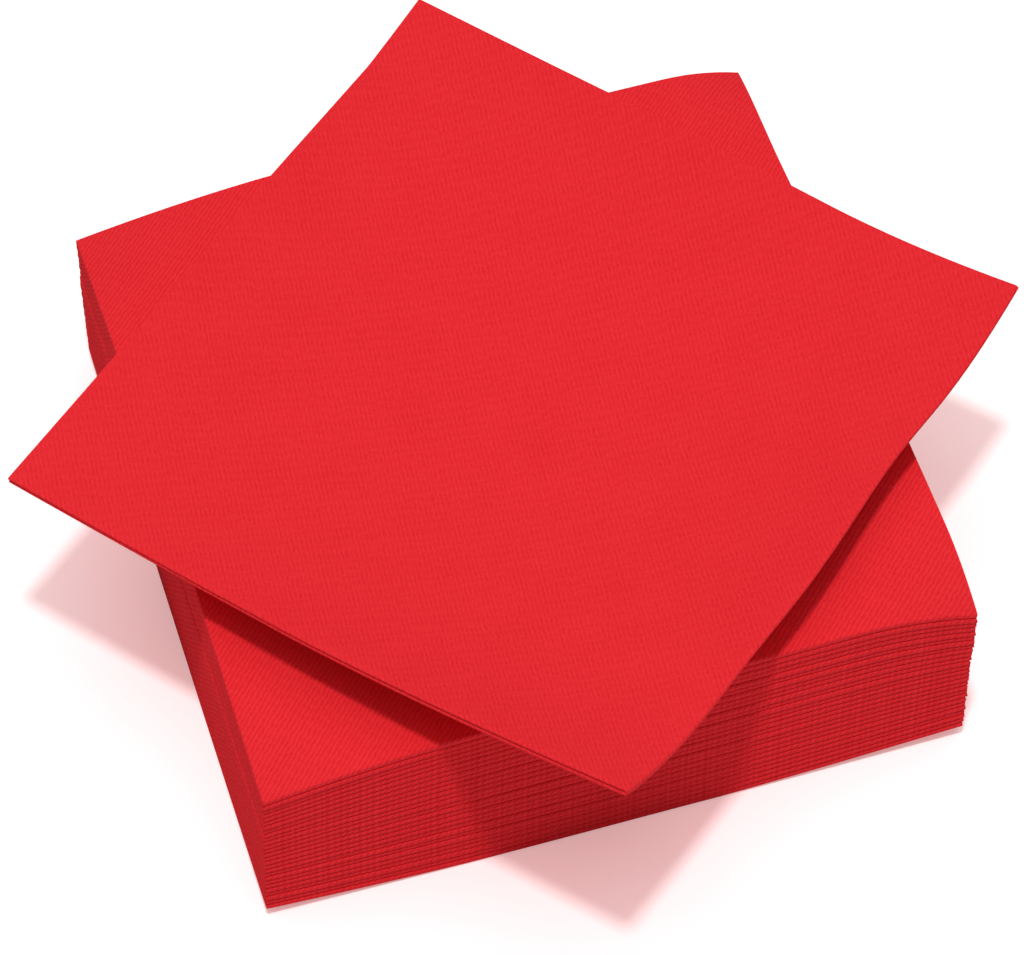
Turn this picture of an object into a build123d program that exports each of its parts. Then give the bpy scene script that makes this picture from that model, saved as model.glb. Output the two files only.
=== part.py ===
"""A stack of quarter-folded paper napkins with one more napkin lying turned on top.

Each napkin is one square sheet, folded in half and then in half again. The first fold is
on the left (-X), where the layers show as two folded pairs. The second fold, the spine, is
at the front (-Y), where all four layers turn round together. The right and the back are
open, with four loose layers. The origin is on the table, under the middle of the stack.
"""

import os
from math import asin, cos, degrees, radians, sin

from build123d import *

# The sheet and its fold, in millimetres
sheet_side = 330.0  # one napkin, opened out
layer_thickness = 0.4  # one layer of the sheet, with its embossing
layer_gap = 0.1  # air between the layers of one napkin
side_fold_depth = 0.6  # paper at the left fold, from its side to where a pair parts

# The stack
lower_napkins = 18  # napkins that were put down first
upper_napkins = 9  # napkins put on them, a little further to the right
upper_shift = 1.2  # how much further to the right
loose_shift = 0.4  # how unevenly the napkins are squared up

# The napkin lying turned on top
turn_angle = 39.5  # degrees, against the stack
turn_across = -1.0  # its middle, to the right of the stack's
turn_forward = 8.0  # its middle, in front of the stack's
side_curl = 14.0  # how far its sides curl up from the stack
curl_width = 75.0  # width of the curled strip on each side

# Sizes that follow
folded_side = sheet_side / 2
half = folded_side / 2
napkin_thickness = 4 * layer_thickness + 3 * layer_gap
spine_radius = napkin_thickness / 2
napkin_count = lower_napkins + upper_napkins
stack_height = napkin_count * napkin_thickness
curl_radius = (curl_width**2 + side_curl**2) / (2 * side_curl)
curl_angle = degrees(asin(curl_width / curl_radius))
overcut = 1.0


def turn_round(depth, back):
    """Draw a line at a depth under the napkin's surface, from its back round its spine."""
    turn = spine_radius - half
    top = napkin_thickness - depth
    Line((back, top), (turn, top))
    ThreePointArc((turn, top), (depth - half, spine_radius), (turn, depth))
    Line((turn, depth), (back, depth))
    return top


def draw_napkin():
    """Outline of the folded napkin, cut from its spine to its open back."""
    top = turn_round(0, half)
    Line((half, 0), (half, top))


def draw_pair_gap():
    """Outline of the gap inside the two folded pairs, which goes round the spine."""
    back = half + overcut
    inner = layer_thickness + layer_gap
    outer_top = turn_round(layer_thickness, back)
    inner_top = turn_round(inner, back)
    Line((back, outer_top), (back, inner_top))
    Line((back, layer_thickness), (back, inner))


def draw_middle_gap():
    """Outline of the gap between the two folded pairs, which ends in the spine."""
    turn = spine_radius - half
    back = half + overcut
    bottom = 2 * layer_thickness + layer_gap
    top = bottom + layer_gap
    Polyline((turn, bottom), (back, bottom), (back, top), (turn, top), close=True)


def cut_plane(origin, towards):
    """The upright plane across a napkin that faces along its spine, to the right."""
    return Plane(origin, x_dir=(-towards.Y, towards.X, 0), z_dir=towards)


def own_shift(number, pace):
    """A napkin's own small shift, from minus to plus the loose shift in five places."""
    place = number * pace % 5
    return loose_shift * (place - 2) / 2


def stacked_napkin(number):
    """One napkin of the stack, counted from the table up."""
    across = own_shift(number, pace=7)
    rear = own_shift(number, pace=3)
    if number >= lower_napkins:
        across += upper_shift
    left = cut_plane((across - half, rear, number * napkin_thickness), Vector(1, 0, 0))

    with BuildPart() as napkin:
        with BuildSketch(left):
            with BuildLine():
                draw_napkin()
            make_face()
        extrude(amount=folded_side)
        with BuildSketch(left.offset(side_fold_depth)):
            with BuildLine():
                draw_pair_gap()
            make_face()
        extrude(amount=folded_side, mode=Mode.SUBTRACT)
        with BuildSketch(left.offset(-overcut)):
            with BuildLine():
                draw_middle_gap()
            make_face()
        extrude(amount=folded_side + 2 * overcut, mode=Mode.SUBTRACT)
    return napkin.part


os.makedirs("parts", exist_ok=True)

for number in range(napkin_count):
    napkin = stacked_napkin(number)
    napkin.label = f"napkin_{number + 1:02d}"
    export_step(napkin, f"parts/{napkin.label}.step")

# The napkin on top is flat in the middle and curls up at both sides
along_spine = Vector(cos(radians(turn_angle)), sin(radians(turn_angle)), 0)
to_back = Vector(-along_spine.Y, along_spine.X, 0)
centre = Vector(turn_across, -turn_forward, stack_height)
flat_half = half - curl_width
flat_left = cut_plane(centre - along_spine * flat_half, along_spine)
flat_right = cut_plane(centre + along_spine * flat_half, along_spine)
curl_up = Vector(0, 0, curl_radius)
left_curl = Axis(flat_left.origin + curl_up, to_back)
right_curl = Axis(flat_right.origin + curl_up, to_back)
fold_angle = degrees(side_fold_depth / curl_radius)
overcut_angle = degrees(overcut / curl_radius)

with BuildPart() as turned_napkin:
    for draw, left_angle, right_angle, mode in (
        (draw_napkin, curl_angle, curl_angle, Mode.ADD),
        (draw_pair_gap, curl_angle - fold_angle, curl_angle + overcut_angle, Mode.SUBTRACT),
        (draw_middle_gap, curl_angle + overcut_angle, curl_angle + overcut_angle, Mode.SUBTRACT),
    ):
        with BuildSketch(flat_left) as section:
            with BuildLine():
                draw()
            make_face()
        extrude(section.sketch, amount=2 * flat_half, mode=mode)
        revolve(section.sketch, axis=left_curl, revolution_arc=left_angle, mode=mode)
        with BuildSketch(flat_right) as section:
            with BuildLine():
                draw()
            make_face()
        revolve(section.sketch, axis=right_curl, revolution_arc=-right_angle, mode=mode)

turned_napkin.part.label = "turned_napkin"
export_step(turned_napkin.part, "parts/turned_napkin.step")
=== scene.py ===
"""A stack of quarter-folded red paper napkins, with one more napkin lying turned on top.

Every napkin is one square sheet, modelled as a closed, thin, folded mesh. The sheet is
first folded to the left, then to the front, so the left shows two folded pairs, the front
one spine, and the right and the back four loose layers. Lengths are in metres.
"""

from math import cos, pi, radians, sin

import bpy
import numpy as np
from mathutils import Matrix, Vector


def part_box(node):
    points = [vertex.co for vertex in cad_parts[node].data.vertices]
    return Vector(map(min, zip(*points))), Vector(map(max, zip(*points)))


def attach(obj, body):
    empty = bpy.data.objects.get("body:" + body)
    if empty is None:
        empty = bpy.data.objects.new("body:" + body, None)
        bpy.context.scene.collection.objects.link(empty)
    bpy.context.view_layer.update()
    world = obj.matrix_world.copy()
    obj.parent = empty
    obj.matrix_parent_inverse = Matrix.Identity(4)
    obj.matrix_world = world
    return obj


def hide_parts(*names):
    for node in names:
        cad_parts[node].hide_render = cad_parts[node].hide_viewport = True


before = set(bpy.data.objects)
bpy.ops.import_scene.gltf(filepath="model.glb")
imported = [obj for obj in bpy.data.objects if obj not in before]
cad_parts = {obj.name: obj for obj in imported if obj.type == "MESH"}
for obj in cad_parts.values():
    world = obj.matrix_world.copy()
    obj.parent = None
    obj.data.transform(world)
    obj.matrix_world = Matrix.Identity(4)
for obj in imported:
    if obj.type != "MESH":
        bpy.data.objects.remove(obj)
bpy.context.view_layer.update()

mm = 0.001

# The sheet and its fold
sheet_side = 330 * mm
side = sheet_side / 2
edge = 0.5  # where an edge lies from the middle, as a share of the folded side
past_edge = 1.1  # how far a bend goes on past the edge, against 1 at the edge
layer_share = 0.42  # one layer's thickness, of half the folded napkin's
outer_layer = 0.75  # middle of the outer layer, of half the folded napkin's thickness
inner_layer = 0.25
fold_steps = 6  # mesh steps round the first fold
spine_steps = 10  # mesh steps round the spine
stack_steps = 28  # mesh steps along a layer of a stacked napkin
shown_steps = 60  # the same for the two napkins that show their top
sharp_angle = radians(50)  # edges sharper than this aren't shaded smooth

# The stack, as a pillow: its corners come down at the top and rise from the table
stack_names = sorted(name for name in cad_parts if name.startswith("napkin_"))
napkin_count = len(stack_names)
stack_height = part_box(stack_names[-1])[1][2]
napkin_thickness = stack_height / napkin_count
lower_napkins = 18  # put down first; the rest stand a little further to the right
squared_up = 0.15  # share of a node's own small shift that the paper keeps
kept_step = 0.25  # share of the upper napkins' shift that the paper keeps
lean_left = 0.4 * mm  # how far the lowest napkin stands out to the left of the top one
lean_front = 0.8 * mm
lean_turn = radians(0.4)  # how far the lowest napkin is turned against the top one
right_hollow = 1.5 * mm  # how far the loose right edges draw in towards the back
right_hollow_place = 0.85  # where they draw in most, as a share of the way to the back
right_hollow_width = 0.2
right_hollow_power = 3  # how fast that fades from the right edge into the napkin
corner_fade = 1.5  # how fast a corner's bend fades through the stack
spine_bulge = 0.5  # the pressed spines are flatter than half a circle

# A corner is (side in X, side in Y, height, reach in X, reach in Y, power in X, power in Y),
# with the reach as a share of the folded side
drooping_corners = (
    (-1, -1, 5.5 * mm, 0.35, 0.35, 1.8, 1.5),
    (-1, 1, 6.8 * mm, 0.38, 0.35, 1.8, 1.5),
    (1, -1, 5.3 * mm, 0.17, 0.14, 2.0, 2.0),
    (1, 1, 4.4 * mm, 0.12, 0.15, 2.0, 2.0),
)
rising_corners = (
    (-1, -1, 2.6 * mm, 0.30, 0.40, 1.5, 1.5),
    (-1, 1, 3.0 * mm, 0.35, 0.40, 1.5, 1.5),
    (1, -1, 3.3 * mm, 0.36, 0.40, 1.2, 1.5),
    (1, 1, 4.0 * mm, 0.36, 0.40, 1.2, 1.5),
)

# How uneven the paper is
uneven_edge = 0.10 * mm
uneven_spine = 0.07 * mm
uneven_thickness = 0.12 * mm
close_power = 8  # keeps a small shift close to its edge
seed_step = 2.1  # how much the waves differ from one napkin to the next
turned_seed = 0.7

# A small wave along an edge is (height, turn with the seed, turn with the layer, turn per metre)
right_waves = ((1.0, 1.0, 1.9, 31), (0.6, 2.3, -1.0, 70))
back_waves = ((1.0, 1.3, 2.3, 29), (0.6, 1.0, 1.0, 64))
spine_waves = ((1.0, 1.7, 0.0, 36), (0.5, 2.9, 0.0, 95))

# The wave in a napkin's thickness
thickness_turn = 2.4  # from one napkin to the next
thickness_across = 25  # per metre to the right
thickness_along = 17  # per metre to the back, at most
thickness_swing = 1.7  # how the last one changes from one napkin to the next

# The napkin lying turned on top, as a shallow dish with curled corners
turn_angle = radians(39.5)
drawn_in = 0.99  # its plan, as the curl draws the edges in
rim_lift = 12.5 * mm
rim_power = 2.2
curled_corners = (
    (-1, -1, 11.5 * mm, 0.24, 0.55, 2.0, 1.6),
    (1, -1, 5.4 * mm, 0.24, 0.30, 2.0, 1.8),
)
lift_reach = 0.36  # how far into the sheet an edge's own lift reaches
lift_power = 1.6
right_lift = 6.2 * mm
right_share = 0.95  # share of that lift at the edge's middle
right_slope = 0.5  # how the share grows towards the back
back_lift = 3.0 * mm
back_share = 1.1
back_slope = 1.1  # how the share grows towards the right
back_least = 0.4
left_lift = 2.2 * mm
left_top = -0.1  # where the left edge is lifted most, from its middle towards the back
left_bow = 2.2  # how fast that lift falls off along the edge
front_lift = 4.0 * mm
front_top = -0.1
front_width = 0.25
layer_spread = 4.0 * mm  # how far the layers part at the open corner
fold_spread = 0.7 * mm  # how far the two folded pairs part on the left
fold_step = 0.35 * mm  # how far the lower pair stands out on the left
front_bulge = 1.2 * mm  # wave of the spine, seen from above
front_bulge_place = 0.43  # where it bulges, as a share of the way to the right
front_bulge_width = 0.13
front_hollow = 1.5 * mm
front_hollow_place = 0.70
front_hollow_width = 0.12
wave_power = 3  # how fast the spine's wave fades towards the back
rest_gap = 0.05 * mm

# The paper
paper_red = (0.80, 0.028, 0.037)
# darker red for paper dyed darker in places, and for painted shade in the emboss's hollows
dark_dye_and_groove_shade_red = (0.70, 0.017, 0.024)
paper_roughness = 0.95
paper_shine = 0.06
emboss_slant = radians(45)
emboss_pitch = 1.05 * mm
emboss_length = 2.4 * mm
emboss_depth = 0.06 * mm
wave_period = pi / 10  # one rib's repeat before it is scaled to the pitch
rib_wobble = 3.0
dash_wobble = 6.0
wobble_detail = 2.0
wobble_scale = 2.0
rib_mean = 0.5  # mean height of the ribs, where 1 is their top
dash_height = 0.25  # height of the dashes, against the ribs
fibre_height = 1.3
pressed_flat = 0.15  # how much of the ribs is left where the turned napkin has lost them
patch_low = 0.40  # the noise values between which the ribs come back
patch_high = 0.60
cloud_weight = 0.5  # how much the uneven dye counts in the colour, against the emboss's height, whose hollows are painted darker as shade
tone_low = 0.9  # the tones between which the darker red, of uneven dye and of painted shade in the emboss's hollows, turns into the paper's red
tone_high = 2.0

# A noise is (scale per millimetre, detail)
fibre_noise = (1.5, 3.0)
cloud_noise = (0.07, 3.0)
patch_noise = (0.4, 2.0)

# The light and the camera
white = (1, 1, 1, 1)
lamp_place = Vector((-0.17, -0.52, 2.5))
lamp_size = 0.18
lamp_power = 31.0
fill_strength = 0.25
soft_height = 2.4  # a wide, soft light straight above
soft_size = 2.4
soft_power = 21.0
floor_white = 0.90
floor_glow = 0.42  # added where the floor is seen, so that it shows as white
painted_bounce_pink = (1.0, 0.60, 0.60, 1)  # painted red bounce light: a pink glow in the floor round the stack, standing in for the red light that the paper sheds round itself
painted_bounce_near = 0.35  # distance from the stack where the painted pink bounce light starts to fade into white
painted_bounce_far = 0.9
floor_size = 6.0
camera_place = Vector((-0.19956, -0.67883, 1.00215))
camera_turn = radians(-16.35)
camera_tilt = radians(54.12)
camera_roll = radians(-0.93)
camera_lens = 182.88  # in millimetres, as the sensor
camera_sensor = 36
camera_reach = 20


def hump(place, middle, width):
    """A smooth hump, 1 at its middle and fading to 0 on both sides."""
    return np.exp(-(((place - middle) / width) ** 2))


def ripple(waves, place, seed, layer):
    """Sum of small waves along an edge, which differ by napkin and by layer."""
    return sum(
        height * np.sin(seed_turn * seed + layer_turn * layer + metre_turn * place)
        for height, seed_turn, layer_turn, metre_turn in waves
    )


def corner_bend(corners, x, y):
    """Sum of the corners' bends at places given as shares of the folded side."""
    total = np.zeros(np.broadcast(x, y).shape)
    for toward_x, toward_y, height, reach_x, reach_y, power_x, power_y in corners:
        into_x = np.clip((toward_x * x - edge + reach_x) / reach_x, 0, past_edge)
        into_y = np.clip((toward_y * y - edge + reach_y) / reach_y, 0, past_edge)
        total += height * into_x**power_x * into_y**power_y
    return total


def edge_lift(distance):
    """How far a lifted edge's bend has gone, from 0 inside the sheet to 1 at its edge."""
    return np.clip((distance - edge + lift_reach) / lift_reach, 0, past_edge) ** lift_power


def stack_level(number, x, y):
    """Height of the surface on which the napkin of that number lies, 0 being the table."""
    share = number / napkin_count
    droop = corner_bend(drooping_corners, x / side, y / side) * share**corner_fade
    rise = corner_bend(rising_corners, x / side, y / side) * (1 - share) ** corner_fade
    height = number * napkin_thickness + rise - droop
    if 0 < number < napkin_count:
        along = thickness_along * np.sin(number * thickness_swing)
        wave = np.sin(number * thickness_turn + thickness_across * x + along * y)
        height = height + uneven_thickness * wave
    return height


def turned_lift(x, y):
    """How far the turned napkin's upper side is lifted, and how far its lower side."""
    x = x / side
    y = y / side
    flat_x = 1 - np.abs(x / edge) ** rim_power
    flat_y = 1 - np.abs(y / edge) ** rim_power
    dish = rim_lift * (1 - flat_x * flat_y)
    right = right_lift * edge_lift(x) * np.clip(right_share + right_slope * y, 0, 1)
    back = back_lift * edge_lift(y) * np.clip(back_share + back_slope * x, back_least, 1)
    left = left_lift * edge_lift(-x) * np.cos(left_bow * (y - left_top))
    front = front_lift * edge_lift(-y) * hump(x, front_top, front_width)
    upper = dish + corner_bend(curled_corners, x, y) + np.maximum(right, back) + left + front

    # The loose layers part towards the open corner, and the folded pairs towards the front
    to_right = np.clip(edge + x, 0, 1)
    to_back = np.clip(edge + y, 0, 1)
    to_front = np.clip(edge - y, 0, 1)
    apart = edge_lift(x) * to_back + edge_lift(y) * to_right
    folds_apart = fold_spread * edge_lift(-x) * to_front
    return upper, upper - layer_spread * np.minimum(apart, 1) - folds_apart


def spine_wave(x):
    """How far the turned napkin's spine stands forward, along its length."""
    place = x / side + edge
    bulge = front_bulge * hump(place, front_bulge_place, front_bulge_width)
    hollow = front_hollow * hump(place, front_hollow_place, front_hollow_width)
    return bulge - hollow


def fold_stations(steps, turn_steps, reach, turn_length):
    """Stations on a sheet that runs to a fold, turns round it and runs back.

    Gives each station's turn, its distance from the fold as a share of the reach, and its
    place on the flat sheet.
    """
    run = np.linspace(0, 1, steps + 1)
    fold = np.linspace(0, pi, turn_steps + 1)[1:-1]
    turn = np.concatenate((np.zeros(steps + 1), fold, np.full(steps + 1, pi)))
    from_fold = np.concatenate((1 - run, np.zeros(len(fold)), run))
    on_sheet = np.concatenate(
        (run * reach, reach + fold * turn_length / pi, reach + turn_length + run * reach)
    )
    return turn, from_fold, on_sheet


def sheet_piece(name, points, across_sheet, along_sheet):
    """Piece with a closed skin over rows of points, where each row is a loop round the sheet."""
    rows, loop = points.shape[:2]
    index = np.arange(rows * loop).reshape(rows, loop)
    following = np.roll(index, -1, axis=1)
    faces = np.stack((index[:-1], following[:-1], following[1:], index[1:]), axis=-1)
    ends = []
    half_loop = loop // 2
    for row, order in ((index[0], -1), (index[-1], 1)):
        outside = row[:half_loop]
        inside = row[half_loop:][::-1]
        end = np.stack((outside[:-1], outside[1:], inside[1:], inside[:-1]), axis=-1)
        ends.append(end[:, ::order])
    faces = np.concatenate([faces.reshape(-1, 4)] + ends)

    mesh = bpy.data.meshes.new(name)
    mesh.from_pydata(points.reshape(-1, 3).tolist(), [], faces.tolist())
    sheet_uv = np.stack(np.broadcast_arrays(across_sheet, along_sheet), axis=-1).reshape(-1, 2)
    layer_uv = mesh.uv_layers.new(name="sheet")
    layer_uv.data.foreach_set("uv", (sheet_uv[faces.reshape(-1)] / sheet_side).ravel())
    mesh.shade_smooth()
    mesh.set_sharp_from_angle(angle=sharp_angle)
    piece = bpy.data.objects.new(name, mesh)
    bpy.context.collection.objects.link(piece)
    return piece


def folded_sheet(name, low, high, steps, seed, lower, upper, bulge=1.0, step_out=0.0, draw_in=0.0):
    """A sheet folded to the left and then to the front, between two surfaces."""
    half_thickness = napkin_thickness / 2
    half_layer = layer_share / 2
    fold_radius = (outer_layer - inner_layer) / 2
    fold_middle = (outer_layer + inner_layer) / 2
    left = low[0] + (fold_radius + half_layer) * half_thickness
    front = low[1] + half_thickness * bulge
    reach_x = high[0] - left
    reach_y = high[1] - front

    # A loop across the sheet, its outside and then its inside: the outer layer to the left,
    # the first fold, and the inner layer back
    fold_length = pi * fold_radius * half_thickness
    across_stations = fold_stations(steps, fold_steps, reach_x, fold_length)
    turn, across, across_sheet = (
        np.concatenate((values, values[::-1]))[None, :] for values in across_stations
    )
    radius = np.repeat((fold_radius + half_layer, fold_radius - half_layer), turn.size // 2)
    depth = fold_middle + radius * np.cos(turn)
    fold_x = left - radius * half_thickness * np.sin(turn)

    # Such a loop at each station along the sheet: the upper pair to the front, the spine, and
    # the lower pair back
    spine_length = pi * fold_middle * half_thickness
    along_stations = fold_stations(steps, spine_steps, reach_y, spine_length)
    spine_turn, along, along_sheet = (values[:, None] for values in along_stations)
    under = spine_turn / pi
    layer = turn / pi + 2 * under
    turned_in = depth * half_thickness * bulge * np.sin(spine_turn)
    y = front + along * reach_y - turned_in
    x = np.broadcast_to(fold_x + across * reach_x, y.shape)
    level = depth * np.cos(spine_turn)

    # The lower pair's fold can stand out past the upper one's
    x = x - step_out * under * (1 - along) * (1 - across) ** close_power

    # The loose right edges can draw in towards the back
    x = x - draw_in * hump(along, right_hollow_place, right_hollow_width) * across**right_hollow_power

    # Loose layers don't quite meet at the open sides, and the spine isn't quite straight
    x = x + uneven_edge * ripple(right_waves, y, seed, layer) * across**close_power
    y = y + uneven_edge * ripple(back_waves, x, seed, layer) * along**close_power
    y = y + uneven_spine * ripple(spine_waves, x, seed, layer) * (1 - along) ** close_power

    bottom = lower(x, y)
    z = bottom + (level + 1) / 2 * (upper(x, y) - bottom)
    return sheet_piece(name, np.stack((x, y, z), axis=-1), across_sheet, along_sheet)


def socket(sockets, identifier):
    """One socket of a node that has a set of them for each kind of data."""
    return next(found for found in sockets if found.identifier == identifier)


def paper_material(name, fading):
    """Soft red paper, embossed all over with fine slanting ribs that break into dashes.

    Where they are fading, the ribs are pressed flat in patches.
    """
    material = bpy.data.materials.new(name)
    material.use_nodes = True
    nodes = material.node_tree.nodes
    links = material.node_tree.links
    shader = nodes["Principled BSDF"]
    shader.inputs["Roughness"].default_value = paper_roughness
    shader.inputs["Specular IOR Level"].default_value = paper_shine

    # The pattern is laid out on the flat sheet, in millimetres
    sheet = nodes.new("ShaderNodeUVMap")
    sheet.uv_map = "sheet"
    slant = nodes.new("ShaderNodeMapping")
    slant.inputs["Rotation"].default_value = (0, 0, emboss_slant)
    slant.inputs["Scale"].default_value = (sheet_side / mm,) * 3
    links.new(sheet.outputs["UV"], slant.inputs["Vector"])

    def rows(direction, pitch, wobble):
        """Height of wavy rows that follow one another in a direction."""
        node = nodes.new("ShaderNodeTexWave")
        node.bands_direction = direction
        node.inputs["Scale"].default_value = wave_period * mm / pitch
        node.inputs["Distortion"].default_value = wobble
        node.inputs["Detail"].default_value = wobble_detail
        node.inputs["Detail Scale"].default_value = wobble_scale
        links.new(slant.outputs["Vector"], node.inputs["Vector"])
        return node.outputs["Fac"]

    def noise(scale, detail):
        """A cloudy pattern."""
        node = nodes.new("ShaderNodeTexNoise")
        node.inputs["Scale"].default_value = scale
        node.inputs["Detail"].default_value = detail
        links.new(slant.outputs["Vector"], node.inputs["Vector"])
        return node.outputs["Fac"]

    def weighted_sum(first, share, rest):
        """First output times a share, plus another output."""
        node = nodes.new("ShaderNodeMath")
        node.operation = "MULTIPLY_ADD"
        node.inputs[1].default_value = share
        links.new(first, node.inputs[0])
        links.new(rest, node.inputs[2])
        return node.outputs["Value"]

    # Ribs run along the slant, and a fainter wave across it breaks them into dashes
    ribs = rows("X", emboss_pitch, rib_wobble)
    dashes = rows("Y", emboss_length, dash_wobble)

    if fading:
        left = nodes.new("ShaderNodeMapRange")
        left.inputs["From Min"].default_value = patch_low
        left.inputs["From Max"].default_value = patch_high
        left.inputs["To Min"].default_value = pressed_flat
        links.new(noise(*patch_noise), left.inputs["Value"])
        # Ribs fade towards their mean height
        faded = nodes.new("ShaderNodeMix")
        faded.inputs["A"].default_value = rib_mean
        links.new(left.outputs["Result"], faded.inputs["Factor"])
        links.new(ribs, faded.inputs["B"])
        ribs = faded.outputs["Result"]

    height = weighted_sum(dashes, dash_height, ribs)
    height = weighted_sum(noise(*fibre_noise), fibre_height, height)
    bump = nodes.new("ShaderNodeBump")
    bump.inputs["Strength"].default_value = 1.0
    bump.inputs["Distance"].default_value = emboss_depth
    links.new(height, bump.inputs["Height"])
    links.new(bump.outputs["Normal"], shader.inputs["Normal"])

    # Colour: a little darker in the emboss's hollows, which is painted shade, and unevenly dyed
    tone = weighted_sum(noise(*cloud_noise), cloud_weight, height)
    dye = nodes.new("ShaderNodeMapRange")
    dye.data_type = "FLOAT_VECTOR"
    socket(dye.inputs, "From_Min_FLOAT3").default_value = (tone_low,) * 3
    socket(dye.inputs, "From_Max_FLOAT3").default_value = (tone_high,) * 3
    socket(dye.inputs, "To_Min_FLOAT3").default_value = dark_dye_and_groove_shade_red
    socket(dye.inputs, "To_Max_FLOAT3").default_value = paper_red
    links.new(tone, dye.inputs["Vector"])
    links.new(dye.outputs["Vector"], shader.inputs["Base Color"])
    return material


def seen_directly(tree):
    """1 where the camera, a reflection or a clear material looks at a surface, else 0."""
    path = tree.nodes.new("ShaderNodeLightPath")
    seen = path.outputs["Is Camera Ray"]
    for way in ("Is Glossy Ray", "Is Transmission Ray"):
        either = tree.nodes.new("ShaderNodeMath")
        either.operation = "MAXIMUM"
        tree.links.new(seen, either.inputs[0])
        tree.links.new(path.outputs[way], either.inputs[1])
        seen = either.outputs["Value"]
    return seen


def floor_material():
    """White floor that keeps the shadow, shows as plain white where it is lit, and glows pink round
    the stack as painted red bounce light.
    """
    material = bpy.data.materials.new("white_floor")
    material.use_nodes = True
    nodes = material.node_tree.nodes
    links = material.node_tree.links
    shader = nodes["Principled BSDF"]
    shader.inputs["Base Color"].default_value = (floor_white, floor_white, floor_white, 1)
    shader.inputs["Roughness"].default_value = 1.0
    shader.inputs["Specular IOR Level"].default_value = 0.0

    # Near the stack the glow is faint and pink, which is painted red bounce light that tints the
    # floor's shadow, and far from it plain white
    place = nodes.new("ShaderNodeNewGeometry")
    distance = nodes.new("ShaderNodeVectorMath")
    distance.operation = "LENGTH"
    links.new(place.outputs["Position"], distance.inputs[0])
    fade = nodes.new("ShaderNodeMapRange")
    fade.inputs["From Min"].default_value = painted_bounce_near
    fade.inputs["From Max"].default_value = painted_bounce_far
    links.new(distance.outputs["Value"], fade.inputs["Value"])
    # The pink tint is painted bounce light, seen only by the camera and in reflections
    painted_bounce_tint = nodes.new("ShaderNodeMix")
    painted_bounce_tint.data_type = "RGBA"
    socket(painted_bounce_tint.inputs, "A_Color").default_value = painted_bounce_pink
    socket(painted_bounce_tint.inputs, "B_Color").default_value = white
    links.new(fade.outputs["Result"], painted_bounce_tint.inputs["Factor"])
    links.new(socket(painted_bounce_tint.outputs, "Result_Color"), shader.inputs["Emission Color"])

    strength = nodes.new("ShaderNodeMapRange")
    strength.inputs["To Min"].default_value = floor_glow
    links.new(fade.outputs["Result"], strength.inputs["Value"])
    glow = nodes.new("ShaderNodeMath")
    glow.operation = "MULTIPLY"
    links.new(strength.outputs["Result"], glow.inputs[0])
    links.new(seen_directly(material.node_tree), glow.inputs[1])
    links.new(glow.outputs["Value"], shader.inputs["Emission Strength"])
    return material


def place_napkin(piece, node, paper):
    """Give a napkin its paper and let it stand for its node."""
    piece.data.materials.append(paper)
    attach(piece, "root")
    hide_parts(node)


def group_corner(group):
    """Where the low corners of a group's boxes are on average."""
    return np.mean([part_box(node)[0] for node in group], axis=0)


def leaning_share(number):
    """How much of the stack's lean a napkin has: 1 for the lowest, nearly 0 for the top one."""
    return 1 - number / napkin_count


def squared_box(number, node):
    """A node's box, with the stack squared up and leaning a little to the left and front."""
    low, high = (np.array(corner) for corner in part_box(node))
    lower_corner = group_corner(stack_names[:lower_napkins])
    upper_corner = group_corner(stack_names[lower_napkins:])
    own_corner = upper_corner if number >= lower_napkins else lower_corner
    target = lower_corner + kept_step * (own_corner - lower_corner)
    move = target - own_corner + (1 - squared_up) * (own_corner - low)
    move -= np.array((lean_left, lean_front, 0)) * leaning_share(number)
    move[2] = 0
    return low + move, high + move


# The stack
stack_paper = paper_material("red_paper", fading=False)
for number, node in enumerate(stack_names):
    low, high = squared_box(number, node)
    napkin = folded_sheet(
        "folded_" + node,
        low,
        high,
        shown_steps if number == napkin_count - 1 else stack_steps,
        number * seed_step,
        lambda x, y: stack_level(number, x, y),
        lambda x, y: stack_level(number + 1, x, y),
        bulge=spine_bulge,
        draw_in=right_hollow,
    )
    napkin.data.transform(Matrix.Rotation(-lean_turn * leaning_share(number), 4, "Z"))
    place_napkin(napkin, node, stack_paper)

# The turned napkin is shaped square to the axes, and then turned in its mesh
low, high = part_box("turned_napkin")
centre = Vector(((low[0] + high[0]) / 2, (low[1] + high[1]) / 2, 0))
turned = folded_sheet(
    "folded_turned_napkin",
    (-side / 2, -side / 2),
    (side / 2, side / 2),
    shown_steps,
    turned_seed,
    lambda x, y: stack_height + rest_gap + turned_lift(x, y)[1],
    lambda x, y: stack_height + rest_gap + napkin_thickness + turned_lift(x, y)[0],
    step_out=fold_step,
)
for vertex in turned.data.vertices:
    toward_spine = edge - vertex.co.y / side
    vertex.co.y -= spine_wave(vertex.co.x) * toward_spine**wave_power
turned.data.transform(
    Matrix.Translation(centre)
    @ Matrix.Rotation(turn_angle, 4, "Z")
    @ Matrix.Diagonal((drawn_in, drawn_in, 1, 1))
)
place_napkin(turned, "turned_napkin", paper_material("red_paper_thin", fading=True))

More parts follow.
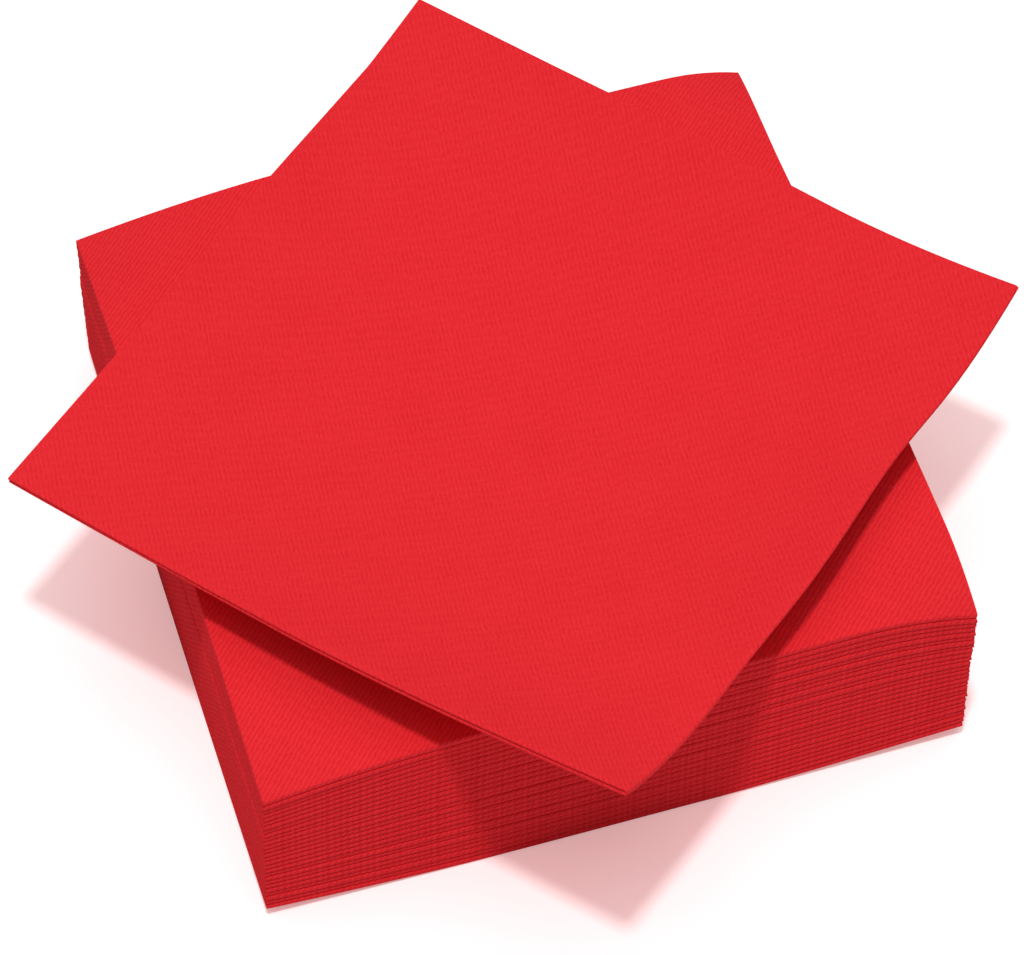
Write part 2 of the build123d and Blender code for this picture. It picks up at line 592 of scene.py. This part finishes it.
# Floor, light and camera
floor_mesh = bpy.data.meshes.new("floor")
reach = floor_size / 2
floor_mesh.from_pydata(
    [(-reach, -reach, 0), (reach, -reach, 0), (reach, reach, 0), (-reach, reach, 0)],
    [],
    [(0, 1, 2, 3)],
)
floor_mesh.materials.append(floor_material())
floor = bpy.data.objects.new("floor", floor_mesh)
bpy.context.collection.objects.link(floor)

for name, place, size, power in (
    ("overhead_lamp", lamp_place, lamp_size, lamp_power),
    ("soft_light", Vector((0, 0, soft_height)), soft_size, soft_power),
):
    lamp_data = bpy.data.lights.new(name, "AREA")
    lamp_data.shape = "DISK"
    lamp_data.size = size
    lamp_data.energy = power
    lamp = bpy.data.objects.new(name, lamp_data)
    lamp.location = place
    lamp.rotation_euler = place.to_track_quat("Z", "Y").to_euler()
    bpy.context.collection.objects.link(lamp)

scene = bpy.context.scene
scene.view_settings.view_transform = "Standard"
world = bpy.data.worlds.new("studio")
world.use_nodes = True
scene.world = world
backdrop = world.node_tree.nodes["Background"]
backdrop.inputs["Color"].default_value = white
# The world lights softly, and is plain white where it is seen directly
direct = world.node_tree.nodes.new("ShaderNodeMix")
direct.inputs["A"].default_value = fill_strength
direct.inputs["B"].default_value = 1.0
world.node_tree.links.new(seen_directly(world.node_tree), direct.inputs["Factor"])
world.node_tree.links.new(direct.outputs["Result"], backdrop.inputs["Strength"])

camera_data = bpy.data.cameras.new("camera")
camera_data.lens = camera_lens
camera_data.sensor_width = camera_sensor
camera_data.clip_end = camera_reach
camera = bpy.data.objects.new("camera", camera_data)
view_back = Vector(
    (
        cos(camera_tilt) * sin(camera_turn),
        -cos(camera_tilt) * cos(camera_turn),
        sin(camera_tilt),
    )
)
view_right = Vector((cos(camera_turn), sin(camera_turn), 0))
view_up = view_back.cross(view_right)
axes = Matrix((view_right, view_up, view_back)).transposed().to_4x4()
camera.matrix_world = (
    Matrix.Translation(camera_place) @ axes @ Matrix.Rotation(camera_roll, 4, "Z")
)
bpy.context.collection.objects.link(camera)
scene.camera = camera
